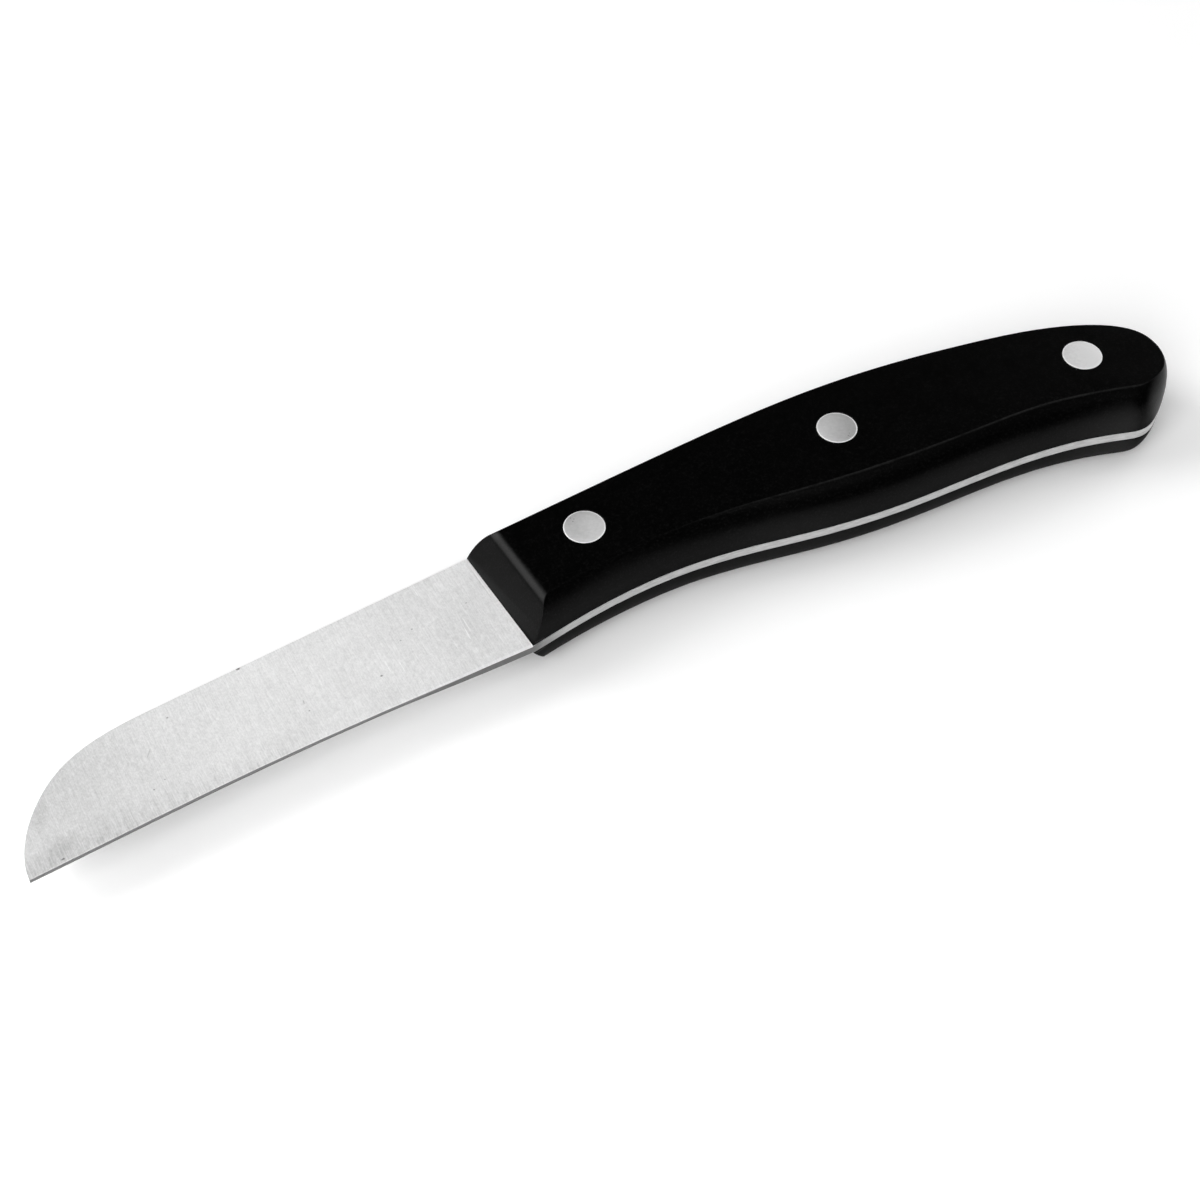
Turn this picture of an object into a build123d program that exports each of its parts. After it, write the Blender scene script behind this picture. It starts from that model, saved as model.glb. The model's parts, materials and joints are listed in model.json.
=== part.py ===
from build123d import *
import os
from math import asin, cos, hypot, sin

# Paring knife with a full tang, two moulded scales and three flush two-piece cutler's rivets.
# It lies on the flat face of its right scale: +X runs along the spine to the butt, +Y from the
# cutting edge to the spine, +Z up out of the left scale. While it is built, X and Y are counted
# from the corner where the spine meets the front of the handle, and Z from the middle of the blade.

# Blade
blade_length = 75.0
blade_height = 16.5
heel_height = 19.0
stock = 1.5
tip_stock = 1.15
edge_stock = 0.36
tip_sweep = 25.0
edge_curve_start = 56.0
edge_curve_end = 20.0
grind_start = 4.0
grind_full = 24.0
edge_bevel = 0.45
edge_bevel_depth = 0.13

# Handle, as an outline that the tang and both scales share
handle_length = 112.0
handle_depth = 33.4
scale_thickness = 6.0
arc_inset = 2.4
crease_inset = 4.1
nose_setback = 3.6
nose_round = 2.3

# Rivets
head_diameter = 6.2
head_height = 2.0
head_edge = 0.12
barrel_diameter = 4.0
post_diameter = 2.6
barrel_gap = 0.5
post_gap = 1.0
fit_clearance = 0.03

# How far cutting tools run past what they cut
overrun = 2.0

# The curve from the spine down to the tip: shares of the tip's sweep and of the blade's height
tip_shares = [(0.40, 0.044), (0.624, 0.167), (0.752, 0.307), (0.94, 0.667)]

# The handle's outline, in shares of its length and of its depth under the spine, with the crease's
# inset there as a share of the largest one. The first run follows the spine to the butt, and the
# second goes from the butt round the belly to the heel.
spine_shares = [
    (0.125, 0.000, 0.58),
    (0.250, 0.001, 0.58),
    (0.372, 0.006, 0.58),
    (0.493, 0.025, 0.58),
    (0.634, 0.085, 0.58),
    (0.772, 0.189, 0.57),
    (0.907, 0.346, 0.52),
    (0.981, 0.530, 0.42),
    (1.000, 0.700, 0.39),
]
belly_shares = [
    (1.000, 0.700, 0.39),
    (0.9945, 0.802, 0.39),
    (0.973, 0.883, 0.31),
    (0.9415, 0.957, 0.62),
    (0.907, 1.000, 1.00),
    (0.875, 0.970, 1.02),
    (0.7955, 0.883, 1.00),
    (0.6725, 0.817, 0.94),
    (0.5455, 0.775, 1.00),
    (0.4295, 0.7035, 0.96),
    (0.3205, 0.608, 0.81),
    (0.2355, 0.554, 0.66),
    (0.147, 0.535, 0.56),
    (0.053, 0.550, 0.64),
]

# Where the rivets sit, in shares of the handle's length and of its depth under the spine
rivet_shares = {"front": (0.1363, 0.2490), "middle": (0.5157, 0.3602), "rear": (0.8844, 0.5988)}

# How many sections shape the start of the grind, how many bands the flank has from the tang to the
# crease, and how late the flank's slope sets in
grind_sections = 7
flank_bands = 8
slope_power = 9

# The flank's arc: its radius, and how far round it has turned when it reaches the flat face
arc_radius = (scale_thickness**2 + arc_inset**2) / (2 * arc_inset)
arc_turn = asin(scale_thickness / arc_radius)

# The height of each scale's flat face over the middle of the blade, and which way round pieces start
face_height = stock / 2 + scale_thickness
upward = (Align.CENTER, Align.CENTER, Align.MIN)
downward = (Align.CENTER, Align.CENTER, Align.MAX)


def smooth(points, first, last):
    """A smooth curve through points, with the directions that it starts and ends in."""
    return Spline(*points, tangents=[first, last], tangent_scalars=[1, 1])


def edge_height(x):
    """How far under the spine the cutting edge runs, at a distance in front of the handle."""
    rise = heel_height - blade_height
    slope = rise / (edge_curve_end + (edge_curve_start - edge_curve_end) / 2)
    if x >= edge_curve_start:
        return blade_height
    if x <= edge_curve_end:
        return heel_height - slope * x
    run = edge_curve_start - x
    return blade_height + slope * run * run / 2 / (edge_curve_start - edge_curve_end)


def blade_outline():
    """The blade's outline in front of the handle: spine, swept tip, straight edge and curved heel."""
    sweep_start = tip_sweep - blade_length
    tip = [(sweep_start - along * tip_sweep, -down * blade_height) for along, down in tip_shares]
    spine = Line((0, 0), (sweep_start, 0))
    curve = smooth([(sweep_start, 0), *tip, (-blade_length, -blade_height)], (-1, 0), (0, -1))
    straight = Line((-blade_length, -blade_height), (-edge_curve_start, -blade_height))
    slope_foot = (-edge_curve_end, -edge_height(edge_curve_end))
    bend = TangentArc((-edge_curve_start, -blade_height), slope_foot, tangent=(1, 0))
    heel = Line(slope_foot, (0, -heel_height))
    return make_face([spine, curve, straight, bend, heel, Line((0, -heel_height), (0, 0))])


def grind_section(x):
    """The ground blade's cross-section at a distance in front of the handle, past both edges."""
    done = min(max((x - grind_start) / (grind_full - grind_start), 0), 1)
    done = done * done * (3 - 2 * done)
    tapered = max(x - grind_start, 0) / (blade_length - grind_start)
    spine_half = (stock + (tip_stock - stock) * tapered) / 2
    edge_half = spine_half + (edge_stock / 2 - spine_half) * done
    taper = (spine_half - edge_half) / edge_height(x)
    top, bottom = overrun, -edge_height(x) - overrun
    top_half = spine_half + taper * top
    bottom_half = spine_half + taper * bottom
    left_side = [(-x, top, top_half), (-x, bottom, bottom_half)]
    right_side = [(-x, bottom, -bottom_half), (-x, top, -top_half)]
    return make_face(Polyline(*left_side, *right_side, close=True))


def ground_blade():
    """The blade in front of the handle: full stock at the heel, a flat grind after it, a honed edge."""
    step = (grind_full - grind_start) / (grind_sections - 1)
    eased = loft([grind_section(grind_start + step * count) for count in range(grind_sections)])
    flat = loft([grind_section(x) for x in (grind_full, blade_length + overrun)], ruled=True)
    heel_block = Box(grind_start, 4 * heel_height, stock, align=(Align.MIN, Align.CENTER, Align.CENTER))
    envelope = eased + flat + Pos(-grind_start, 0) * heel_block
    ground = extrude(blade_outline(), stock, both=True) & envelope
    edge_face = ground.faces().filter_by(Plane.XZ).sort_by(Axis.Y)[0]
    long_edges = edge_face.edges().filter_by(Axis.Z, reverse=True)
    return chamfer(long_edges, edge_bevel_depth, edge_bevel, reference=edge_face)


def place_outline_point(along, down, inset):
    """One point of the handle's outline, with its crease inset, from its shares."""
    return (along * handle_length, -down * handle_depth, inset * crease_inset)


def handle_points():
    """The handle's outline, spine to butt and butt to heel, each point with its crease inset."""
    spine = [place_outline_point(*shares) for shares in spine_shares]
    belly = [place_outline_point(*shares) for shares in belly_shares]
    slope = (heel_height + belly[-1][1]) / belly[-1][0]
    spine_front = (-overrun, 0, spine[0][2])
    heel = (0, -heel_height, belly[-1][2])
    heel_front = (-overrun, -heel_height - slope * overrun, belly[-1][2])
    return [spine_front] + spine, belly + [heel, heel_front]


def flank_inset(total, turned):
    """How far in the flank has come once its arc has turned so far: an arc, then a slope."""
    arc = arc_radius * (1 - cos(turned))
    risen = sin(turned) / sin(arc_turn)
    return arc * min(total / arc_inset, 1) + max(total - arc_inset, 0) * risen**slope_power


def run_edge(points, first, last, turned):
    """One run of the outline at a level of the flank, its points moved in square to the outline."""
    steps = [0]
    for (x, y, inset), (next_x, next_y, next_inset) in zip(points, points[1:]):
        steps.append(steps[-1] + hypot(next_x - x, next_y - y))
    curve = smooth([(x, y) for x, y, inset in points], first, last)
    height = stock / 2 + arc_radius * sin(turned)
    moved = []
    for x, y, total in points:
        along = curve.tangent_at(Vector(x, y))
        inset = flank_inset(total, turned)
        inward = along.Y * inset if x > -overrun else 0
        moved.append(Vector(x + inward, y - along.X * inset, height))
    ends = [Vector(*first), Vector(*last)]
    return Edge.make_spline(moved, tangents=ends, parameters=steps, scale=False)


def outline_wire(turned):
    """The handle's outline where the flank's arc has turned so far, run past the front of the handle."""
    spine, belly = handle_points()
    front_way = Vector(belly[-1][0] - belly[-2][0], belly[-1][1] - belly[-2][1]).normalized()
    upper = run_edge(spine, (1, 0), (0, -1), turned)
    lower = run_edge(belly, (0, -1), (front_way.X, front_way.Y), turned)
    return Wire([upper, lower, Line(lower @ 1, upper @ 0)])


def tang_outline():
    """The tang's outline: that of the scales, from the front of the handle."""
    ahead = Pos(-overrun, 0) * Rectangle(2 * overrun, 2 * (handle_depth + heel_height))
    return make_face(Pos(0, 0, -stock / 2) * outline_wire(0)) - ahead


def rivet_places():
    """Each rivet's name with its centre."""
    shares = rivet_shares.items()
    return {name: (along * handle_length, -down * handle_depth) for name, (along, down) in shares}


def make_blade():
    """One piece of stock: a blade ground flat to its edge, and a full tang with the rivets' holes."""
    blade = ground_blade() + extrude(tang_outline(), stock / 2, both=True)
    hole = Cylinder(barrel_diameter / 2 + fit_clearance, stock + 2 * overrun)
    for place in rivet_places().values():
        blade -= Pos(*place) * hole
    return blade


def nose_cutter():
    """What the slanted front of the scale takes away: a wedge ahead of a plane that leans back."""
    lean = nose_setback / scale_thickness
    low, high = stock / 2 - overrun, face_height + overrun
    low_corner = (-lean * overrun, low)
    high_corner = (nose_setback + lean * overrun, high)
    wedge = Polyline((-2 * overrun, low), low_corner, high_corner, (-2 * overrun, high), close=True)
    return extrude(make_face(Plane.XZ * wedge), handle_depth + heel_height, both=True)


def moulded_blank():
    """A scale before it is cut: even bands of the flank's arc, each a loft through three outlines."""
    half_band = arc_turn / flank_bands / 2
    outlines = [outline_wire(half_band * count) for count in range(2 * flank_bands + 1)]
    bands = [Solid.make_loft(outlines[2 * band : 2 * band + 3]) for band in range(flank_bands)]
    return bands[0].fuse(*bands[1:])


def make_left_scale():
    """The left scale: flat face, convex flanks up to a crease, slanted and rounded nose, rivet bores."""
    scale = moulded_blank() - nose_cutter()
    nose_edge = scale.edges().filter_by(Axis.Y).sort_by(Axis.Z)[-1]
    scale = fillet(nose_edge, nose_round)
    bore = Cylinder(barrel_diameter / 2 + fit_clearance, 4 * face_height)
    head_seat = Cylinder(head_diameter / 2 + fit_clearance, head_height + overrun, align=upward)
    for x, y in rivet_places().values():
        scale -= Pos(x, y) * bore
        scale -= Pos(x, y, face_height - head_height) * head_seat
    return scale


def rivet_head():
    """A flush rivet head with its outer rim just broken, its underside at zero."""
    head = Cylinder(head_diameter / 2, head_height, align=upward)
    return chamfer(head.faces().sort_by(Axis.Z)[-1].edges(), head_edge)


def make_post():
    """The left half of a rivet: a head with a solid shank that is driven into the barrel."""
    seat = face_height - head_height
    shank_end = post_gap - seat
    shank = Cylinder(post_diameter / 2, seat - shank_end, align=downward)
    return Pos(0, 0, seat) * (rivet_head() + shank)


def make_barrel():
    """The right half of a rivet: a head with a hollow shank that takes the post."""
    seat = face_height - head_height
    tube_length = 2 * seat - barrel_gap
    tube = Cylinder(barrel_diameter / 2, tube_length, align=downward)
    bore = Cylinder(post_diameter / 2 + fit_clearance, tube_length, align=downward)
    barrel = Pos(0, 0, seat) * (rivet_head() + tube - bore)
    return mirror(barrel, Plane.XY)


if __name__ == "__main__":
    left_scale = make_left_scale()
    parts = {"blade": make_blade(), "left_scale": left_scale, "right_scale": mirror(left_scale, Plane.XY)}
    for name, place in rivet_places().items():
        parts[name + "_rivet_post"] = Pos(*place) * make_post()
        parts[name + "_rivet_barrel"] = Pos(*place) * make_barrel()
    to_frame = Pos((blade_length - handle_length) / 2, handle_depth / 2, face_height)
    os.makedirs("parts", exist_ok=True)
    for name, part in parts.items():
        export_step(to_frame * part, f"parts/{name}.step")
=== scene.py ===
"""A paring knife dressed for its picture.

A flat-ground blade of satin steel with a full tang, two moulded black scales and three flush
rivets. The knife lies on its right scale: +X runs along the spine to the butt, +Y from the
cutting edge to the spine, and +Z up out of the left scale.
"""

import json
import logging
import math
from collections.abc import Callable, Iterable
from dataclasses import dataclass, field
from enum import Enum

import bmesh
import bpy
from mathutils import Matrix, Quaternion, Vector

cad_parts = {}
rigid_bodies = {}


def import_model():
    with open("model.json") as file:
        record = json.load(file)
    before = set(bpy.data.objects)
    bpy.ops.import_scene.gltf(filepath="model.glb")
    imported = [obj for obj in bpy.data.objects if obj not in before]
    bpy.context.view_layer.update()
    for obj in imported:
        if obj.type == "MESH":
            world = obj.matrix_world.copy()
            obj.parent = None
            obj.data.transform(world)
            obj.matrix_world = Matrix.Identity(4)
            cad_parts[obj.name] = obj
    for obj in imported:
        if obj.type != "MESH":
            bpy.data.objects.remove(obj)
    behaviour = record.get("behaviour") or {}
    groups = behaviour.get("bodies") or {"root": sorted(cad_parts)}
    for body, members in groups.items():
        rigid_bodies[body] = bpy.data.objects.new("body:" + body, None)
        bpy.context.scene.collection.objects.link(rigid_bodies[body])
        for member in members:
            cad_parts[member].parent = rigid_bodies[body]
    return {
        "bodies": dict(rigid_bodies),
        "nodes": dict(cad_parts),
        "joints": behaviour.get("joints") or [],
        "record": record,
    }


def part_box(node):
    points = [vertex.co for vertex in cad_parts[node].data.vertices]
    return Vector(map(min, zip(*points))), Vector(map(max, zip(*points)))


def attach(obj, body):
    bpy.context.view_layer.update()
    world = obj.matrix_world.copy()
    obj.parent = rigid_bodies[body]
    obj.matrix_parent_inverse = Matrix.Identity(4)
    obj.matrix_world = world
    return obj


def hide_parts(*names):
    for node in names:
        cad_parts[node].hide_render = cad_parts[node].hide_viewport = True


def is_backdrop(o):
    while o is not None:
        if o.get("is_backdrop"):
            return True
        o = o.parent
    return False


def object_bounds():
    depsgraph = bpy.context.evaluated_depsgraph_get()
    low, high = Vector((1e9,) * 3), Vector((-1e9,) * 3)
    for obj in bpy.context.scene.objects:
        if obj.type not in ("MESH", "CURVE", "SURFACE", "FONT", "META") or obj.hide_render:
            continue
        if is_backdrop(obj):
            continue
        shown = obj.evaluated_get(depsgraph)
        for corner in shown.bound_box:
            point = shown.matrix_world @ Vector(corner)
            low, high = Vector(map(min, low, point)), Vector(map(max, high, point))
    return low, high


log = logging.getLogger("paring_knife")

# A millimetre, and how near two corners are to count as one, both in metres
MM = 0.001
MERGE = 2e-6
# How straight up or down a face looks that counts as level
LEVEL = 0.999999
# How far the faces beside an edge turn, in degrees: at an edge that is gone, and at a hard one
GONE_TURN = 0.1
HARD_TURN = 30.0
# The share of the room beside an edge that its round may take
ROOM_SHARE = 0.8
# The share of a mark's reach within which it is at its strongest
MARK_CORE = 0.4
ROOT = "root"
FROM_EDGE = "from_edge"


class Side(Enum):
    """Which face of the knife a piece belongs to."""

    LEFT = "left"
    RIGHT = "right"


class Place(Enum):
    """Where along the handle a rivet sits."""

    FRONT = "front"
    MIDDLE = "middle"
    REAR = "rear"


@dataclass
class Sheet:
    """A material's node sheet, with short ways to lay nodes and join them.

    Lengths on a sheet are in millimetres: its place() is the object's own place in millimetres.
    """

    name: str
    material: bpy.types.Material = field(init=False)
    tree: bpy.types.NodeTree = field(init=False)

    def __post_init__(self) -> None:
        """Starts an empty sheet."""
        self.material = bpy.data.materials.new(self.name)
        self.material.use_nodes = True
        self.tree = self.material.node_tree
        self.tree.nodes.clear()

    def lay(self, kind: str, *values: object, **settings: object) -> bpy.types.Node:
        """Lays a node and fills its sockets from the top.

        Args:
            kind: The node's type.
            values: What its sockets hold or are joined to, from the top; None leaves one as it is.
            settings: Its own settings by name.

        Returns:
            The node.
        """
        node = self.tree.nodes.new(kind)
        for name, value in settings.items():
            setattr(node, name, value)
        for socket, value in zip(node.inputs, values):
            self.fill(socket, value)
        return node

    def fill(self, socket: bpy.types.NodeSocket, value: object) -> None:
        """Gives a socket a value, or joins it to another node's socket.

        Args:
            socket: The socket to fill.
            value: A number, a colour or vector, an output socket, or None to leave it as it is.
        """
        if isinstance(value, bpy.types.NodeSocket):
            self.tree.links.new(value, socket)
        elif value is not None:
            socket.default_value = value

    def place(self) -> bpy.types.NodeSocket:
        """Reads the object's own place.

        Returns:
            The place in millimetres.
        """
        where = self.lay("ShaderNodeTexCoord").outputs["Object"]
        scaled = self.lay("ShaderNodeVectorMath", where, operation="SCALE")
        scaled.inputs["Scale"].default_value = 1 / MM
        return scaled.outputs[0]

    def parts(self, vector: bpy.types.NodeSocket) -> list[bpy.types.NodeSocket]:
        """The X, Y and Z of a vector."""
        return list(self.lay("ShaderNodeSeparateXYZ", vector).outputs)

    def facing(self) -> list[bpy.types.NodeSocket]:
        """The X, Y and Z of the surface's own direction."""
        return self.parts(self.lay("ShaderNodeTexCoord").outputs["Normal"])

    def turn(
        self,
        vector: bpy.types.NodeSocket,
        centre: tuple[float, float, float] = (0, 0, 0),
        angle: float = 0,
        stretch: tuple[float, float, float] = (1, 1, 1),
    ) -> bpy.types.NodeSocket:
        """Moves, turns and stretches a pattern's place.

        Args:
            vector: The place.
            centre: What becomes the pattern's own centre.
            angle: How far the pattern is turned about Z, in degrees.
            stretch: How many times each way is multiplied once it is turned.

        Returns:
            The pattern's place.
        """
        away = self.lay("ShaderNodeVectorMath", vector, centre, operation="SUBTRACT").outputs[0]
        spin = (0, 0, math.radians(-angle))
        turned = self.lay("ShaderNodeMapping", away, None, spin).outputs[0]
        return self.lay("ShaderNodeVectorMath", turned, stretch, operation="MULTIPLY").outputs[0]

    def streak(
        self,
        vector: bpy.types.NodeSocket,
        centre: tuple[float, float, float],
        angle: float,
        length: float,
        width: float,
    ) -> bpy.types.NodeSocket:
        """One long or round mark with a soft outline.

        Args:
            vector: The place.
            centre: The mark's centre.
            angle: Which way it runs, in degrees from X.
            length: Half its length.
            width: Half its width.

        Returns:
            How strong it is, nought to one.
        """
        where = self.turn(vector, centre, angle, (1 / length, 1 / width, 0))
        reach = self.lay("ShaderNodeVectorMath", where, operation="LENGTH").outputs["Value"]
        return self.ramp(reach, 1, MARK_CORE)

    def noise(
        self, vector: bpy.types.NodeSocket, scale: float, detail: float = 2, roughness: float = 0.5
    ) -> bpy.types.NodeSocket:
        """A noise of about nought to one.

        Args:
            vector: Where it is read.
            scale: How many swells it has to a millimetre.
            detail: How many finer layers it has.
            roughness: How strong the finer layers are.

        Returns:
            Its height.
        """
        node = self.lay("ShaderNodeTexNoise", vector, None, scale, detail, roughness)
        return node.outputs[0]

    def math(self, operation: str, *values: object) -> bpy.types.NodeSocket:
        """A sum of numbers or sockets."""
        return self.lay("ShaderNodeMath", *values, operation=operation).outputs[0]

    def ramp(
        self,
        value: bpy.types.NodeSocket,
        start: float,
        end: float,
        low: float = 0,
        high: float = 1,
    ) -> bpy.types.NodeSocket:
        """Eases from one number to another while a value goes from start to end.

        Args:
            value: What is read.
            start: The value at which the ease starts.
            end: The value at which it ends.
            low: The number at the start.
            high: The number at the end.

        Returns:
            The eased number.
        """
        node = self.lay(
            "ShaderNodeMapRange", value, start, end, low, high, interpolation_type="SMOOTHSTEP"
        )
        return node.outputs[0]

    def blend(self, share: object, first: object, second: object) -> bpy.types.NodeSocket:
        """A number between two others."""
        node = self.lay("ShaderNodeMix", share, None, first, second, data_type="FLOAT")
        return node.outputs[0]

    def sway(self, middle: object, noise: object, *shares: object) -> bpy.types.NodeSocket:
        """A number that sways about a middle with a noise.

        Args:
            middle: The middle.
            noise: The noise, of about nought to one.
            shares: What the sway is multiplied by, one after the other.

        Returns:
            The number.
        """
        swing = self.math("SUBTRACT", noise, 0.5)
        for share in shares[:-1]:
            swing = self.math("MULTIPLY", swing, share)
        return self.math("MULTIPLY_ADD", swing, shares[-1], middle)

    def grey(self, value: bpy.types.NodeSocket) -> bpy.types.NodeSocket:
        """A neutral colour as light as a number says."""
        return self.lay("ShaderNodeCombineColor", value, value, value).outputs[0]

    def bump(
        self, height: bpy.types.NodeSocket, depth: float, under: bpy.types.NodeSocket | None = None
    ) -> bpy.types.NodeSocket:
        """A rough surface's direction.

        Args:
            height: The pattern's height, from nought to one.
            depth: How high one is, in millimetres.
            under: The direction of a coarser pattern that this one lies on.

        Returns:
            The direction.
        """
        node = self.lay("ShaderNodeBump")
        self.fill(node.inputs["Strength"], 1)
        self.fill(node.inputs["Distance"], depth * MM)
        self.fill(node.inputs["Height"], height)
        self.fill(node.inputs["Normal"], under)
        return node.outputs[0]

    def soft_edges(self, width: float) -> bpy.types.NodeSocket:
        """The surface's direction with its edges rounded over a width in millimetres."""
        node = self.lay("ShaderNodeBevel", width * MM, samples=6)
        return node.outputs[0]

    def finish(self, **sockets: object) -> bpy.types.Material:
        """Lays the shader itself.

        Args:
            sockets: What its sockets hold or are joined to, by name, with _ for a space.

        Returns:
            The material.
        """
        shader = self.lay("ShaderNodeBsdfPrincipled")
        for name, value in sockets.items():
            self.fill(shader.inputs[name.replace("_", " ")], value)
        self.lay("ShaderNodeOutputMaterial", shader.outputs[0])
        return self.material


@dataclass(frozen=True)
class Mark:
    """A speck, a scratch or a stain on the blade's left side.

    Sizes are in millimetres and the angle is in degrees from X. The lift is what it adds to the
    steel's tone.
    """

    x: float
    y: float
    angle: float
    half_length: float
    half_width: float
    lift: float


BLADE_MARKS = (
    # Specks
    Mark(-67.5, 14.3, 0, 0.2, 0.17, -0.35),
    Mark(-50.3, 6.7, 80, 0.5, 0.13, -0.3),
    Mark(-50.3, 5.0, 0, 0.18, 0.15, -0.35),
    Mark(-39.0, 4.9, 0, 0.26, 0.2, -0.5),
    Mark(-33.8, 8.8, 0, 0.19, 0.15, -0.3),
    Mark(-31.5, 9.7, 0, 0.2, 0.16, -0.35),
    Mark(-73.9, 4.6, 0, 0.19, 0.15, -0.3),
    Mark(-72.0, 5.3, 0, 0.16, 0.13, -0.25),
    Mark(-22.6, 9.6, 20, 0.2, 0.15, -0.25),
    Mark(-88.5, 1.1, 0, 0.35, 0.18, -0.3),
    Mark(-55.6, 16.6, 0, 0.4, 0.3, -0.6),
    # Scratches
    Mark(-72.1, 10.3, 50, 1.0, 0.12, -0.15),
    Mark(-24.9, 7.0, 84, 2.6, 0.09, 0.12),
    Mark(-25.2, 4.6, 84, 1.4, 0.12, 0.25),
    Mark(-24.5, 6.2, 85, 1.8, 0.08, 0.2),
    Mark(-25.5, 1.5, 87, 1.0, 0.08, 0.12),
    Mark(-21.6, 1.3, 86, 1.1, 0.1, 0.12),
    Mark(-27.8, 15.0, 87, 1.1, 0.08, 0.12),
    Mark(-35.8, 4.7, 87, 1.4, 0.09, 0.15),
    Mark(-37.5, 6.0, 87, 1.6, 0.08, 0.08),
    Mark(-46.8, 8.5, 87, 1.3, 0.08, 0.08),
    Mark(-49.0, 13.0, 90, 2.2, 0.09, 0.06),
    # Grind marks along the handle
    Mark(-18.8, 12.0, 89, 3.8, 0.1, 0.15),
    Mark(-19.3, 13.5, 89, 2.2, 0.08, 0.1),
    Mark(-19.05, 11.0, 89, 4.5, 0.08, -0.15),
    # Stains by the tip
    Mark(-88.6, 9.0, 60, 3.0, 1.6, -0.05),
    Mark(-88.0, 2.8, 25, 3.6, 1.7, -0.06),
)


@dataclass(frozen=True)
class GroundSteel:
    """Satin stainless steel, ground across the blade.

    Tones and lifts are shares of white, sizes are in millimetres and angles in degrees. An ease
    gives where it starts and ends, and the numbers there unless they are nought and one; the
    eases of the painted light by the handle, of the strip and of the painted shade along the edge
    start from the handle's front. A noise gives its swells to a millimetre, its finer layers and
    their strength. A sway is how far a noise moves what it is laid on. Over the steel's own tone
    are painted light and shade: lighter by the handle and in the middle, darker towards the tip,
    a painted highlight on the honed bevel and a dark line of painted shade along the very edge.
    """

    name: str = "ground_steel"
    tone: float = 0.76
    roughness: float = 0.5
    roughness_sway: float = 0.12
    anisotropy: float = 0.8
    line_lean: float = -3.6
    line_stretch: tuple[float, float] = (5.5, 0.16)
    line_noise: tuple[float, float, float] = (1, 3, 0.6)
    line_depth: float = 0.0012
    fine_times: float = 3.0
    fine_noise: tuple[float, float] = (1, 2)
    fine_height: float = 0.5
    mottle_noise: tuple[float, float, float] = (1.1, 5, 0.7)
    grain_stretch: tuple[float, float, float] = (1, 0.6, 1)
    grain_noise: tuple[float, float, float] = (4.5, 2, 0.6)
    cloud_noise: tuple[float, float] = (0.12, 2)
    line_sway: float = 0.3
    worked_shares: tuple[float, float] = (0.8, 0.6)
    fine_sway: float = 0.2
    mottle_sway: float = 0.25
    grain_sway: float = 0.28
    cloud_sway: float = 0.1
    low_ease: tuple[float, float, float, float] = (0.5, 5.0, 1, 0)
    front_ease: tuple[float, float] = (-44, -66)
    low_front_lift: float = -0.05
    handle_light_ease: tuple[float, float] = (-12, 1)
    handle_painted_light: float = 0.1
    middle_highlight_ease: tuple[float, float] = (-64, -46)
    middle_painted_highlight: float = 0.05
    tip_shade_ease: tuple[float, float] = (-55, -95)
    tip_painted_shade: float = -0.2
    facing_ease: tuple[float, float] = (0.8, 0.9)
    edge_tone_and_shade: float = 0.19
    strip_tone: float = 0.6
    strip_ease: tuple[float, float] = (-1, 7)
    strip_stretch: tuple[float, float, float] = (0.5, 0.5, 4)
    strip_noise: tuple[float, float, float] = (1, 3, 0.6)
    strip_sway: float = 0.5
    rim_sway: float = 0.12
    worn_width: float = 0.08
    hone_ease: tuple[float, float] = (-0.1, -0.15)
    hone_painted_highlight: float = 0.08
    hone_tilt: float = 0.15
    edge_shade_tone: float = 0.3
    edge_shade_ease: tuple[float, float] = (-5, -25)
    edge_shade_share: float = 0.6
    edge_shade_blur: float = 0.08

    def texture(
        self, sheet: Sheet, place: bpy.types.NodeSocket, handle_front: float
    ) -> tuple[bpy.types.NodeSocket, bpy.types.NodeSocket, bpy.types.NodeSocket]:
        """Lays the grind lines and the mottle of the ground sides, and paints light and shade along
        the blade.

        Args:
            sheet: The material's sheet.
            place: The object's own place in millimetres.
            handle_front: Where the handle starts, along X in millimetres.

        Returns:
            The sides' tone with its painted light and shade, the grind lines' height and the
            mottle.
        """
        across, down = self.line_stretch
        fine_stretch = (self.fine_times * across, self.fine_times * down, 1)
        lines_at = sheet.turn(place, angle=self.line_lean, stretch=(across, down, 1))
        fine_at = sheet.turn(place, angle=self.line_lean, stretch=fine_stretch)
        lines = sheet.noise(lines_at, *self.line_noise)
        fine = sheet.noise(fine_at, *self.fine_noise)
        mottle = sheet.noise(place, *self.mottle_noise)
        grain = sheet.noise(sheet.turn(place, stretch=self.grain_stretch), *self.grain_noise)
        cloud = sheet.noise(place, *self.cloud_noise)
        along, up_blade, _ = sheet.parts(place)
        low = sheet.ramp(up_blade, *self.low_ease)
        low_front = sheet.math("MULTIPLY", low, sheet.ramp(along, *self.front_ease))
        worked = sheet.math("MULTIPLY_ADD", low_front, *self.worked_shares)
        tone = sheet.sway(self.tone, lines, worked, self.line_sway)
        for layer, share in (
            (fine, self.fine_sway),
            (mottle, self.mottle_sway),
            (grain, self.grain_sway),
            (cloud, self.cloud_sway),
        ):
            tone = sheet.sway(tone, layer, share)
        # Eases the tone along the blade: a little darker low at the front, then painted light by
        # the handle, a painted highlight in the middle and painted shade towards the tip.
        by_handle = (handle_front + reach for reach in self.handle_light_ease)
        for zone, lift in (
            (low_front, self.low_front_lift),
            (sheet.ramp(along, *by_handle), self.handle_painted_light),
            (sheet.ramp(along, *self.middle_highlight_ease), self.middle_painted_highlight),
            (sheet.ramp(along, *self.tip_shade_ease), self.tip_painted_shade),
        ):
            tone = sheet.math("MULTIPLY_ADD", zone, lift, tone)
        height = sheet.math("ADD", lines, sheet.math("MULTIPLY", fine, self.fine_height))
        return tone, height, mottle

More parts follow.
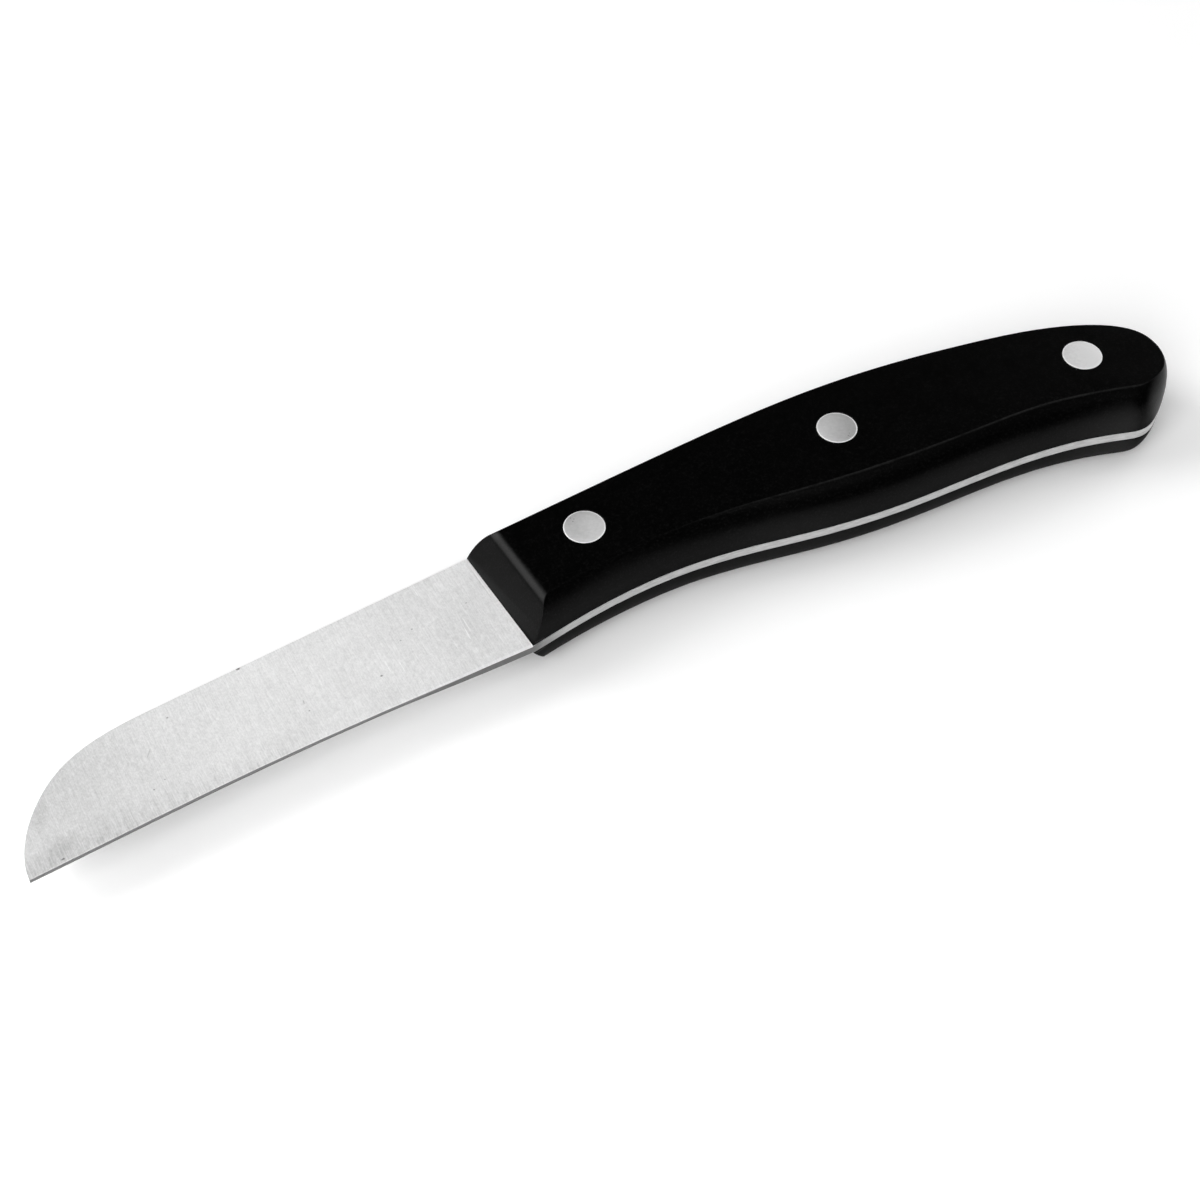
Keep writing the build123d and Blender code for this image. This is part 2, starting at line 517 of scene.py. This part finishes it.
    def add_marks(
        self, sheet: Sheet, place: bpy.types.NodeSocket, tone: bpy.types.NodeSocket
    ) -> bpy.types.NodeSocket:
        """Adds the specks, scratches and stains to the left side.

        Args:
            sheet: The material's sheet.
            place: The object's own place in millimetres.
            tone: The sides' tone.

        Returns:
            The sides' tone with the marks.
        """
        on_left = sheet.ramp(sheet.facing()[2], *self.facing_ease)
        for mark in BLADE_MARKS:
            centre = (mark.x, mark.y, 0)
            strength = sheet.streak(place, centre, mark.angle, mark.half_length, mark.half_width)
            shown = sheet.math("MULTIPLY", strength, on_left)
            tone = sheet.math("MULTIPLY_ADD", shown, mark.lift, tone)
        return tone

    def hone(
        self,
        sheet: Sheet,
        along: bpy.types.NodeSocket,
        handle_front: float,
        tone: bpy.types.NodeSocket,
    ) -> tuple[bpy.types.NodeSocket, bpy.types.NodeSocket]:
        """Finishes the honed edge: a dark line of painted shade along the very edge, with a painted
        highlight on the bevel above it.

        Args:
            sheet: The material's sheet.
            along: The place along the blade, in millimetres.
            handle_front: Where the handle starts, along X in millimetres.
            tone: The sides' tone.

        Returns:
            The sides' tone with the painted shade and highlight, and the surface's direction with
            its edges rounded.
        """
        on_hone = sheet.ramp(sheet.facing()[1], *self.hone_ease)
        from_edge = sheet.lay("ShaderNodeAttribute", attribute_name=FROM_EDGE).outputs["Fac"]
        start, end = (handle_front + reach for reach in self.edge_shade_ease)
        above = sheet.math("SUBTRACT", from_edge, sheet.ramp(along, start, end, 0, self.edge_shade_share))
        bright = sheet.math("MULTIPLY", on_hone, sheet.ramp(above, -self.edge_shade_blur, self.edge_shade_blur))
        dark = sheet.math("MULTIPLY", on_hone, sheet.ramp(above, self.edge_shade_blur, -self.edge_shade_blur))
        # Painted highlight on the honed bevel, and a dark line of painted shade along the very
        # edge.
        tone = sheet.math("MULTIPLY_ADD", bright, self.hone_painted_highlight, tone)
        tone = sheet.blend(dark, tone, self.edge_shade_tone)
        tilt = sheet.blend(bright, 1, self.hone_tilt)
        flatter = sheet.lay("ShaderNodeCombineXYZ", 1, tilt, 1).outputs[0]
        soft = sheet.soft_edges(self.worn_width)
        soft = sheet.lay("ShaderNodeVectorMath", soft, flatter, operation="MULTIPLY").outputs[0]
        return tone, sheet.lay("ShaderNodeVectorMath", soft, operation="NORMALIZE").outputs[0]

    def rim(
        self,
        sheet: Sheet,
        place: bpy.types.NodeSocket,
        handle_front: float,
        mottle: bpy.types.NodeSocket,
    ) -> bpy.types.NodeSocket:
        """Lays the tone of the narrow faces: the edge, the spine, and the strip round the tang.
        The edge's and spine's dark tone is partly the ground steel's own and partly painted shade.

        Args:
            sheet: The material's sheet.
            place: The object's own place in millimetres.
            handle_front: Where the handle starts, along X in millimetres.
            mottle: The mottle of the sides.

        Returns:
            The tone.
        """
        start, end = (handle_front + reach for reach in self.strip_ease)
        in_handle = sheet.ramp(sheet.parts(place)[0], start, end)
        # The edge and spine are darker: partly their own ground tone, partly painted shade of the
        # underside.
        tone = sheet.blend(in_handle, self.edge_tone_and_shade, self.strip_tone)
        tone = sheet.sway(tone, mottle, self.rim_sway)
        streaks = sheet.noise(sheet.turn(place, stretch=self.strip_stretch), *self.strip_noise)
        return sheet.sway(tone, streaks, in_handle, self.strip_sway)

    def make(self, handle_front: float) -> bpy.types.Material:
        """Makes the material.

        Args:
            handle_front: Where the handle starts, along X in millimetres.

        Returns:
            The material.
        """
        sheet = Sheet(self.name)
        place = sheet.place()
        tone, height, mottle = self.texture(sheet, place, handle_front)
        tone = self.add_marks(sheet, place, tone)
        tone, soft = self.hone(sheet, sheet.parts(place)[0], handle_front, tone)
        rim_tone = self.rim(sheet, place, handle_front, mottle)
        on_side = sheet.ramp(sheet.math("ABSOLUTE", sheet.facing()[2]), *self.facing_ease)
        return sheet.finish(
            Base_Color=sheet.grey(sheet.blend(on_side, rim_tone, tone)),
            Metallic=1,
            Roughness=sheet.sway(self.roughness, mottle, self.roughness_sway),
            Anisotropic=self.anisotropy,
            Tangent=sheet.lay("ShaderNodeCombineXYZ", 1, 0, 0).outputs[0],
            Normal=sheet.bump(height, self.line_depth, soft),
        )


@dataclass(frozen=True)
class MouldedPlastic:
    """Black moulded plastic with a fine peppery grain, and painted highlights along its crease and
    on its nose.

    Its numbers are read as those of GroundSteel. The face's ease starts from the flat faces,
    which lie as far from the knife's middle plane as that plane's own height.
    """

    name: str = "moulded_plastic"
    edge_round: float = 0.3
    middle: float = 6.75
    tone: float = 0.0002
    grain_tone: float = 0.0045
    grain_ease: tuple[float, float] = (0.48, 0.75)
    grain_noise: tuple[float, float, float] = (3.6, 2, 0.6)
    grain_depth: float = 0.014
    cloud_noise: tuple[float, float] = (0.25, 3)
    roughness: float = 0.33
    roughness_sway: float = 0.1
    specular: float = 0.07
    flank_roughness: float = 0.65
    flank_ease: tuple[float, float] = (0.35, 0)
    butt_ease: tuple[float, float] = (0.6, 0.2)
    crease_highlight_tone: float = 0.011
    lean_ease: tuple[float, float] = (0.9995, 0.998)
    face_ease: tuple[float, float] = (-0.14, -0.04)
    rear_ease: tuple[float, float] = (4, 34)
    crease_break_noise: tuple[float, float, float] = (0.4, 4, 0.7)
    crease_break_ease: tuple[float, float, float, float] = (0.3, 0.65, 0.35, 1.2)
    nose_highlight_tone: float = 0.016
    nose_eases: tuple[tuple[float, float], tuple[float, float]] = ((-0.15, -0.5), (-0.83, -0.5))
    spine_ease: tuple[float, float, float, float] = (12, 16, 1, 2.2)

    def painted_highlights(
        self, sheet: Sheet, place: bpy.types.NodeSocket, soft: bpy.types.NodeSocket
    ) -> bpy.types.NodeSocket:
        """How much lighter the plastic is painted where its crease and nose catch the light.

        Args:
            sheet: The material's sheet.
            place: The object's own place in millimetres.
            soft: The surface's direction with its edges rounded.

        Returns:
            The painted highlight, which is along the crease, more to the rear, and on the nose's
            round, most by the spine.
        """
        along, up_blade, up = sheet.parts(place)
        plain = sheet.parts(sheet.lay("ShaderNodeNewGeometry").outputs["True Normal"])[2]
        from_middle = sheet.math("ABSOLUTE", sheet.math("SUBTRACT", up, self.middle))
        start, end = (self.middle + reach for reach in self.face_ease)
        # Painted highlight along the crease, broken up by a noise and stronger to the rear.
        crease = sheet.ramp(sheet.math("ABSOLUTE", plain), *self.lean_ease)
        for share in (
            sheet.ramp(from_middle, start, end),
            sheet.ramp(along, *self.rear_ease),
            sheet.ramp(sheet.noise(place, *self.crease_break_noise), *self.crease_break_ease),
        ):
            crease = sheet.math("MULTIPLY", crease, share)
        # Painted highlight on the nose's round, brighter by the spine.
        ahead = sheet.parts(soft)[0]
        nose = sheet.ramp(up_blade, *self.spine_ease)
        for ease in self.nose_eases:
            nose = sheet.math("MULTIPLY", nose, sheet.ramp(ahead, *ease))
        return sheet.math(
            "ADD",
            sheet.math("MULTIPLY", crease, self.crease_highlight_tone),
            sheet.math("MULTIPLY", nose, self.nose_highlight_tone),
        )

    def make(self) -> bpy.types.Material:
        """Makes the material.

        Returns:
            The material.
        """
        sheet = Sheet(self.name)
        place = sheet.place()
        grain = sheet.noise(place, *self.grain_noise)
        cloud = sheet.noise(place, *self.cloud_noise)
        soft = sheet.soft_edges(self.edge_round)
        tone = sheet.ramp(grain, *self.grain_ease, self.tone, self.grain_tone)
        # Adds the painted highlights of the crease and the nose.
        tone = sheet.math("ADD", tone, self.painted_highlights(sheet, place, soft))
        facing = sheet.facing()
        flank = sheet.ramp(facing[2], *self.flank_ease)
        flank = sheet.math("MULTIPLY", flank, sheet.ramp(facing[0], *self.butt_ease))
        rough = sheet.blend(flank, self.roughness, self.flank_roughness)
        return sheet.finish(
            Base_Color=sheet.grey(tone),
            Roughness=sheet.sway(rough, cloud, self.roughness_sway),
            Specular_IOR_Level=self.specular,
            Normal=sheet.bump(grain, self.grain_depth, soft),
        )


@dataclass(frozen=True)
class RivetSteel:
    """Satin steel of a rivet, sanded flush, with a bright rim and a few pits.

    Its numbers are read as those of GroundSteel. The rim's ease starts from the head's radius,
    and the pits' places from the head's centre. Its tone sways across the head at an angle:
    painted shading, lighter towards one side and darker towards the other.
    """

    name: str = "rivet_steel"
    tone: float = 0.75
    painted_shading_lean: float = 0.0
    painted_shading_angle: float = -32
    pits: tuple[tuple[float, float], ...] = ()
    pit_size: float = 0.11
    pit_depth: float = 0.35
    rim_tone: float = 1.0
    rim_ease: tuple[float, float] = (-0.25, -0.12)
    roughness: float = 0.5
    rim_roughness: float = 0.65
    anisotropy: float = 0.7
    mottle_noise: tuple[float, float] = (2.2, 3)
    mottle_sway: float = 0.2
    sanding_angle: float = 50
    sanding_stretch: tuple[float, float, float] = (8, 0.8, 1)
    sanding_noise: tuple[float, float, float] = (1, 3, 0.6)
    sanding_sway: float = 0.15
    sanding_depth: float = 0.001

    def make(self, centre: tuple[float, float, float], radius: float) -> bpy.types.Material:
        """Makes the material of one rivet.

        Args:
            centre: The rivet's centre, in millimetres.
            radius: The radius of its head, in millimetres.

        Returns:
            The material.
        """
        sheet = Sheet(self.name)
        place = sheet.turn(sheet.place(), centre)
        flat = sheet.lay("ShaderNodeVectorMath", place, (1, 1, 0), operation="MULTIPLY").outputs[0]
        reach = sheet.lay("ShaderNodeVectorMath", flat, operation="LENGTH").outputs["Value"]
        start, end = (radius + inward for inward in self.rim_ease)
        rim = sheet.ramp(reach, start, end)
        sanded = sheet.turn(place, angle=self.sanding_angle, stretch=self.sanding_stretch)
        sanding = sheet.noise(sanded, *self.sanding_noise)
        mottle = sheet.noise(place, *self.mottle_noise)
        # Painted shading: the head's tone is lighter towards one side and darker towards the other.
        across = sheet.parts(sheet.turn(place, angle=self.painted_shading_angle))[0]
        tone = sheet.ramp(across, -radius, radius, self.tone - self.painted_shading_lean, self.tone + self.painted_shading_lean)
        tone = sheet.sway(tone, mottle, self.tone, self.mottle_sway)
        tone = sheet.sway(tone, sanding, self.tone, self.sanding_sway)
        for x, y in self.pits:
            pit = sheet.streak(place, (x, y, 0), 0, self.pit_size, self.pit_size)
            tone = sheet.math("MULTIPLY_ADD", pit, -self.pit_depth, tone)
        return sheet.finish(
            Base_Color=sheet.grey(sheet.blend(rim, tone, self.rim_tone)),
            Metallic=1,
            Roughness=sheet.blend(rim, self.roughness, self.rim_roughness),
            Anisotropic=self.anisotropy,
            Tangent=sheet.lay("ShaderNodeCombineXYZ", 1, 0, 0).outputs[0],
            Normal=sheet.bump(sanding, self.sanding_depth),
        )


# Painted light and shade: each rivet's tone is set to how brightly the lamps light it, the rear one
# brightest and the middle one darkest, and each head is painted lighter on one side.
RIVET_STEELS = {
    Place.FRONT: RivetSteel(
        tone=0.75, painted_shading_lean=0.12, pits=((-0.84, 2.48), (-0.51, 2.04), (-0.88, 1.72))
    ),
    Place.MIDDLE: RivetSteel(
        tone=0.68, painted_shading_lean=-0.13, pits=((0.9, -1.93), (0.46, -2.27), (0.59, -2.5))
    ),
    Place.REAR: RivetSteel(tone=1.0, painted_shading_lean=0.06),
}


@dataclass(frozen=True)
class Softbox:
    """A soft lamp that looks at the knife: its place and size in metres, its power in watts."""

    name: str
    away: tuple[float, float, float]
    width: float
    height: float
    power: float


SOFTBOXES = (
    Softbox("back_left", (-0.6, 0.56, 0.64), 0.6, 0.7, 6.8),
    Softbox("front_left", (-0.8, -0.55, 0.75), 0.9, 0.9, 12.6),
    Softbox("right", (1.15, 0.42, 0.28), 0.7, 0.7, 3.0),
    Softbox("overhead", (0.0, -0.05, 1.0), 0.8, 0.6, 1.5),
)


@dataclass
class Studio:
    """The floor, the lamps, the backdrop and the camera.

    Places and reaches are in metres, angles in degrees, and the lens and sensor in millimetres.
    Tones and lifts are shares of white. The backdrop's ease is told by the height of the view.
    """

    floor_half: float = 2.0
    floor_tone: float = 0.9
    floor_lift: float = 0.24
    far_lift: float = 0.9
    pool_reach: float = 0.35
    far_times: float = 4.0
    shade_reach: float = 0.02
    shade_samples: int = 8
    ceiling: float = 0.03
    backdrop: float = 1.0
    backdrop_ease: tuple[float, float] = (-0.02, 0.25)
    nearest: float = 0.01
    farthest: float = 20.0
    camera_place: tuple[float, float, float] = (-0.1004, -0.1525, 0.2348)
    camera_azimuth: float = -31.8
    camera_elevation: float = 51.76
    camera_roll: float = -0.41
    lens: float = 60.15
    sensor: float = 36.0

    def make_floor(self) -> bpy.types.Object:
        """Lays the white floor that the knife rests on.

        Returns:
            The floor.
        """
        mesh = bpy.data.meshes.new("floor")
        work = bmesh.new()
        bmesh.ops.create_grid(work, x_segments=1, y_segments=1, size=self.floor_half)
        work.to_mesh(mesh)
        work.free()
        floor = bpy.data.objects.new("floor", mesh)
        bpy.context.scene.collection.objects.link(floor)
        sheet = Sheet("floor_paper")
        path = sheet.lay("ShaderNodeLightPath")
        seen = sheet.math("MAXIMUM", path.outputs["Is Camera Ray"], path.outputs["Is Glossy Ray"])
        seen = sheet.math("MAXIMUM", seen, path.outputs["Is Transmission Ray"])
        paper = sheet.lay("ShaderNodeBsdfDiffuse", (self.floor_tone,) * 3 + (1,))
        shade = sheet.lay(
            "ShaderNodeAmbientOcclusion", None, self.shade_reach, samples=self.shade_samples
        )
        away = sheet.lay("ShaderNodeVectorMath", sheet.place(), operation="LENGTH").outputs["Value"]
        pool = self.pool_reach / MM
        lift = sheet.ramp(away, pool, self.far_times * pool, self.floor_lift, self.far_lift)
        lit = sheet.math("MULTIPLY", seen, sheet.math("MULTIPLY", shade.outputs["AO"], lift))
        glow = sheet.lay("ShaderNodeEmission", (1, 1, 1, 1), lit)
        both = sheet.lay("ShaderNodeAddShader", paper.outputs[0], glow.outputs[0])
        sheet.lay("ShaderNodeOutputMaterial", both.outputs[0])
        mesh.materials.append(sheet.material)
        floor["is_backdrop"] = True
        return floor

    def make_backdrop(self) -> bpy.types.World:
        """Makes the world: a white backdrop round the floor under a dim ceiling.

        Returns:
            The world.
        """
        world = bpy.data.worlds.new("studio")
        world.use_nodes = True
        tree = world.node_tree
        tree.nodes.clear()
        where = tree.nodes.new("ShaderNodeTexCoord")
        height = tree.nodes.new("ShaderNodeSeparateXYZ")
        tree.links.new(where.outputs["Generated"], height.inputs[0])
        fade = tree.nodes.new("ShaderNodeMapRange")
        fade.interpolation_type = "SMOOTHSTEP"
        tree.links.new(height.outputs["Z"], fade.inputs["Value"])
        for name, value in zip(
            ("From Min", "From Max", "To Min", "To Max"),
            (*self.backdrop_ease, self.backdrop, self.ceiling),
        ):
            fade.inputs[name].default_value = value
        background = tree.nodes.new("ShaderNodeBackground")
        background.inputs["Color"].default_value = (1, 1, 1, 1)
        tree.links.new(fade.outputs[0], background.inputs["Strength"])
        output = tree.nodes.new("ShaderNodeOutputWorld")
        tree.links.new(background.outputs[0], output.inputs["Surface"])
        bpy.context.scene.world = world
        return world

    def hang(self, softbox: Softbox) -> bpy.types.Object:
        """Hangs a softbox.

        Args:
            softbox: The softbox.

        Returns:
            The lamp.
        """
        light = bpy.data.lights.new(softbox.name, "AREA")
        light.shape = "RECTANGLE"
        light.size, light.size_y = softbox.width, softbox.height
        light.energy = softbox.power
        lamp = bpy.data.objects.new(softbox.name, light)
        lamp.location = softbox.away
        lamp.rotation_euler = (-Vector(softbox.away)).to_track_quat("-Z", "Y").to_euler()
        bpy.context.scene.collection.objects.link(lamp)
        return lamp

    def set_camera(self) -> bpy.types.Object:
        """Sets the camera where the photograph was taken from.

        Returns:
            The camera.
        """
        azimuth, elevation = math.radians(self.camera_azimuth), math.radians(self.camera_elevation)
        back = Vector(
            (
                math.sin(azimuth) * math.cos(elevation),
                -math.cos(azimuth) * math.cos(elevation),
                math.sin(elevation),
            )
        )
        data = bpy.data.cameras.new("camera")
        data.sensor_fit = "HORIZONTAL"
        data.sensor_width = self.sensor
        data.lens = self.lens
        data.clip_start, data.clip_end = self.nearest, self.farthest
        camera = bpy.data.objects.new("camera", data)
        camera.rotation_mode = "QUATERNION"
        aim = (-back).to_track_quat("-Z", "Y")
        camera.rotation_quaternion = aim @ Quaternion((0, 0, 1), math.radians(self.camera_roll))
        camera.location = self.camera_place
        bpy.context.scene.collection.objects.link(camera)
        bpy.context.scene.camera = camera
        return camera

    def build(self) -> None:
        """Builds the whole studio."""
        self.make_floor()
        self.make_backdrop()
        for softbox in SOFTBOXES:
            self.hang(softbox)
        self.set_camera()
        bpy.context.scene.view_settings.view_transform = "Standard"
        log.info("studio: floor, backdrop, lamps and camera")


@dataclass
class Blank:
    """A piece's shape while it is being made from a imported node.

    A round has so many steps, and the even shading leans so far to the larger faces.
    """

    node: bpy.types.Object
    round_steps: int = 3
    even_weight: int = 80
    work: bmesh.types.BMesh = field(init=False)

    def __post_init__(self) -> None:
        """Takes the node's shape and joins its loose triangles."""
        self.work = bmesh.new()
        self.work.from_mesh(self.node.data)
        bmesh.ops.remove_doubles(self.work, verts=self.work.verts, dist=MERGE)
        for face in self.work.faces:
            face.smooth = True
        self.flatten()

    def flatten(self) -> None:
        """Clears the triangles out of the faces that lie flat."""
        level = [
            edge
            for edge in self.work.edges
            if all(abs(face.normal.z) > LEVEL for face in edge.link_faces)
        ]
        bmesh.ops.dissolve_limit(
            self.work, angle_limit=math.radians(GONE_TURN), edges=level, delimit={"NORMAL"}
        )

    def room(self, edge: bmesh.types.BMEdge, rounded: set[bmesh.types.BMEdge]) -> float:
        """How far an edge can be rounded before it meets the corners beside it.

        Args:
            edge: The edge.
            rounded: Every edge that is rounded.

        Returns:
            The distance in metres.
        """
        start, end = (corner.co for corner in edge.verts)
        gaps = [
            (other.other_vert(corner).co - start).cross(end - start).length / edge.calc_length()
            for corner in edge.verts
            for other in corner.link_edges
            if other not in rounded
        ]
        return min(gaps, default=1)

    def keep_crisp(self, turn: float) -> None:
        """Shades the shape smoothly, apart from its hard edges.

        Args:
            turn: How far the faces beside a hard edge turn at least, in degrees.
        """
        for edge in self.work.edges:
            edge.smooth = edge.calc_face_angle(0) < math.radians(turn)

    def round_edges(self, width: Callable[[bmesh.types.BMEdge], float], widest: float) -> None:
        """Says how far each edge is rounded.

        Args:
            width: Gives how wide an edge is rounded, in millimetres.
            widest: The widest round, in millimetres.
        """
        layer = self.work.edges.layers.float.new("bevel_weight_edge")
        widths = {edge: width(edge) for edge in self.work.edges if edge.is_manifold}
        rounded = {edge for edge, reach in widths.items() if reach > 0}
        for edge in rounded:
            edge.smooth = True
            edge[layer] = min(widths[edge], ROOM_SHARE * self.room(edge, rounded) / MM) / widest

    def stand_in(
        self, name: str, material: bpy.types.Material, widest: float = 0
    ) -> bpy.types.Object:
        """Makes the finished piece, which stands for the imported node.

        Args:
            name: The piece's name.
            material: Its finish.
            widest: The widest round of its edges, in millimetres, or 0 for none.

        Returns:
            The piece.
        """
        mesh = bpy.data.meshes.new(name)
        self.work.to_mesh(mesh)
        self.work.free()
        if "custom_normal" in mesh.attributes:
            mesh.attributes.remove(mesh.attributes["custom_normal"])
        mesh.materials.clear()
        mesh.materials.append(material)
        piece = bpy.data.objects.new(name, mesh)
        bpy.context.scene.collection.objects.link(piece)
        if widest:
            rounds = piece.modifiers.new("rounds", "BEVEL")
            rounds.limit_method = "WEIGHT"
            rounds.width = widest * MM
            rounds.segments = self.round_steps
            rounds.use_clamp_overlap = False
        even = piece.modifiers.new("even_shading", "WEIGHTED_NORMAL")
        even.keep_sharp = True
        even.weight = self.even_weight
        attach(piece, ROOT)
        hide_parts(self.node.name)
        log.info("%s: %d faces, for %s", name, len(mesh.polygons), self.node.name)
        return piece


@dataclass
class Scale:
    """One moulded scale of the handle, with its sizes in millimetres."""

    side: Side
    joint_round: float = 0.1
    rivet_reach: float = 3.6

    def build(
        self,
        node: bpy.types.Object,
        rivets: list[Vector],
        material: bpy.types.Material,
    ) -> bpy.types.Object:
        """Builds the scale.

        Args:
            node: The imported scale.
            rivets: The rivets' centres.
            material: Its finish.

        Returns:
            The piece.
        """
        low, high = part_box(node.name)
        joint = low.z if self.side is Side.LEFT else high.z

        def width(edge: bmesh.types.BMEdge) -> float:
            """Tells how wide an edge is rounded: only the edges along the tang are.

            Args:
                edge: The edge.

            Returns:
                The width in millimetres.
            """
            middle = (edge.verts[0].co + edge.verts[1].co) / 2
            at_rivet = any((middle - rivet).xy.length < self.rivet_reach * MM for rivet in rivets)
            at_joint = all(abs(corner.co.z - joint) < MERGE for corner in edge.verts)
            hard = edge.calc_face_angle(0) > math.radians(HARD_TURN)
            return self.joint_round if at_joint and hard and not at_rivet else 0

        blank = Blank(node)
        blank.keep_crisp(HARD_TURN)
        blank.round_edges(width, self.joint_round)
        name = f"{self.side.value}_handle_scale"
        return blank.stand_in(name, material, self.joint_round)


@dataclass
class Blade:
    """The blade and its tang, ground from one piece of stock.

    Faces that turn by the hard turn or more, in degrees, meet in a crisp edge. The cutting edge
    is made of the faces that look further down Y than the under value.
    """

    hard_turn: float = 9.0
    under: float = -0.8

    def build(self, node: bpy.types.Object, material: bpy.types.Material) -> bpy.types.Object:
        """Builds the blade, whose edges stay as crisp as they are ground.

        Args:
            node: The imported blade.
            material: Its finish.

        Returns:
            The piece.
        """
        blank = Blank(node)
        from_edge = blank.work.verts.layers.float.new(FROM_EDGE)
        for corner in blank.work.verts:
            at_edge = any(face.normal.y < self.under for face in corner.link_faces)
            corner[from_edge] = 0 if at_edge else 1
        blank.keep_crisp(self.hard_turn)
        return blank.stand_in("ground_blade", material)


@dataclass
class RivetHalf:
    """One half of a flush rivet, turned from round stock: a post, or the barrel that takes it.

    Sizes are in millimetres. Corners nearer than the near value count as one.
    """

    place: Place
    side: Side
    head_height: float = 2.0
    dome: float = 0.03
    rim_round: float = 0.08
    rim_steps: int = 4
    post_radius: float = 1.3
    barrel_radius: float = 2.0
    bore_radius: float = 1.33
    spin_steps: int = 72
    near: float = 0.001

    def profile(self, radius: float, length: float) -> list[tuple[float, float]]:
        """The half's outline from its axis round to its axis, as radius and height.

        Args:
            radius: The head's radius.
            length: The half's whole length.

        Returns:
            The outline's corners, the head's face first, at height nought.
        """
        face = [(0, 0), (radius / 2, -self.dome / 4), (radius, -self.dome)]
        if self.side is Side.LEFT:
            shank = [
                (self.post_radius, -self.head_height),
                (self.post_radius, -length),
                (0, -length),
            ]
        else:
            shank = [
                (self.barrel_radius, -self.head_height),
                (self.barrel_radius, -length),
                (self.bore_radius, -length),
                (self.bore_radius, -self.head_height),
                (0, -self.head_height),
            ]
        return [*face, (radius, -self.head_height), *shank]

    def turn(self, radius: float, length: float) -> bmesh.types.BMesh:
        """Turns the half about Z, in millimetres, with its head up and its face at nought.

        Args:
            radius: The head's radius.
            length: The half's whole length.

        Returns:
            The turned shape.
        """
        work = bmesh.new()
        corners = [work.verts.new((r, 0, z)) for r, z in self.profile(radius, length)]
        line = [work.edges.new(pair) for pair in zip(corners, corners[1:])]
        bmesh.ops.spin(
            work,
            geom=corners + line,
            axis=(0, 0, 1),
            cent=(0, 0, 0),
            angle=math.tau,
            steps=self.spin_steps,
            use_merge=True,
        )
        bmesh.ops.remove_doubles(work, verts=work.verts, dist=self.near)
        rim = [
            edge
            for edge in work.edges
            if all(abs(vert.co.z + self.dome) < self.near for vert in edge.verts)
            and all(vert.co.xy.length > radius - self.rim_round for vert in edge.verts)
        ]
        bmesh.ops.bevel(
            work,
            geom=rim,
            offset=self.rim_round,
            affect="EDGES",
            segments=self.rim_steps,
            profile=0.5,
            material=-1,
        )
        bmesh.ops.recalc_face_normals(work, faces=work.faces)
        for face in work.faces:
            face.smooth = True
        for edge in work.edges:
            edge.smooth = edge.calc_face_angle(0) < math.radians(HARD_TURN)
        return work

    def build(self, finish: RivetSteel) -> bpy.types.Object:
        """Builds the half in its place.

        Args:
            finish: Its finish.

        Returns:
            The piece.
        """
        half = "post" if self.side is Side.LEFT else "barrel"
        node = f"{self.place.value}_rivet_{half}"
        low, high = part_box(node)
        centre = (low + high) / 2
        radius = (high.x - low.x) / 2 / MM
        work = self.turn(radius, (high.z - low.z) / MM)
        bmesh.ops.scale(work, vec=(MM, MM, MM), verts=work.verts)
        top = high.z
        if self.side is Side.RIGHT:
            bmesh.ops.rotate(work, matrix=Matrix.Rotation(math.pi, 3, "X"), verts=work.verts)
            top = low.z
        bmesh.ops.translate(work, vec=(centre.x, centre.y, top), verts=work.verts)
        name = f"{self.place.value}_{half}"
        mesh = bpy.data.meshes.new(name)
        work.to_mesh(mesh)
        work.free()
        mesh.materials.append(finish.make(tuple(centre / MM), radius))
        piece = bpy.data.objects.new(name, mesh)
        bpy.context.scene.collection.objects.link(piece)
        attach(piece, ROOT)
        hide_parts(node)
        log.info("%s: %d faces, for %s", name, len(mesh.polygons), node)
        return piece


@dataclass
class Knife:
    """The whole knife, in the order of its making."""

    frame: dict

    def build(self) -> None:
        """Builds the blade, the scales and the rivets."""
        nodes = self.frame["nodes"]
        handle_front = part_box("left_scale")[0].x / MM
        rivets = [sum(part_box(f"{place.value}_rivet_post"), Vector()) / 2 for place in Place]
        Blade().build(nodes["blade"], GroundSteel().make(handle_front))
        plastic = MouldedPlastic().make()
        for side in Side:
            Scale(side).build(nodes[f"{side.value}_scale"], rivets, plastic)
        for place in Place:
            for side in Side:
                RivetHalf(place, side).build(RIVET_STEELS[place])


def corners(box: Iterable[Vector]) -> list[list[float]]:
    """A box's corners as plain lists."""
    return [list(corner) for corner in box]


def main() -> None:
    """Builds the studio and the knife, and reads the sizes before and after."""
    logging.basicConfig(level=logging.INFO, format="%(name)s: %(message)s")
    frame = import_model()
    solid_box = corners(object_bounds())
    Studio().build()
    Knife(frame).build()
    {"solids": solid_box, "dressed": corners(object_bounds())}


if __name__ == "__main__":
    main()
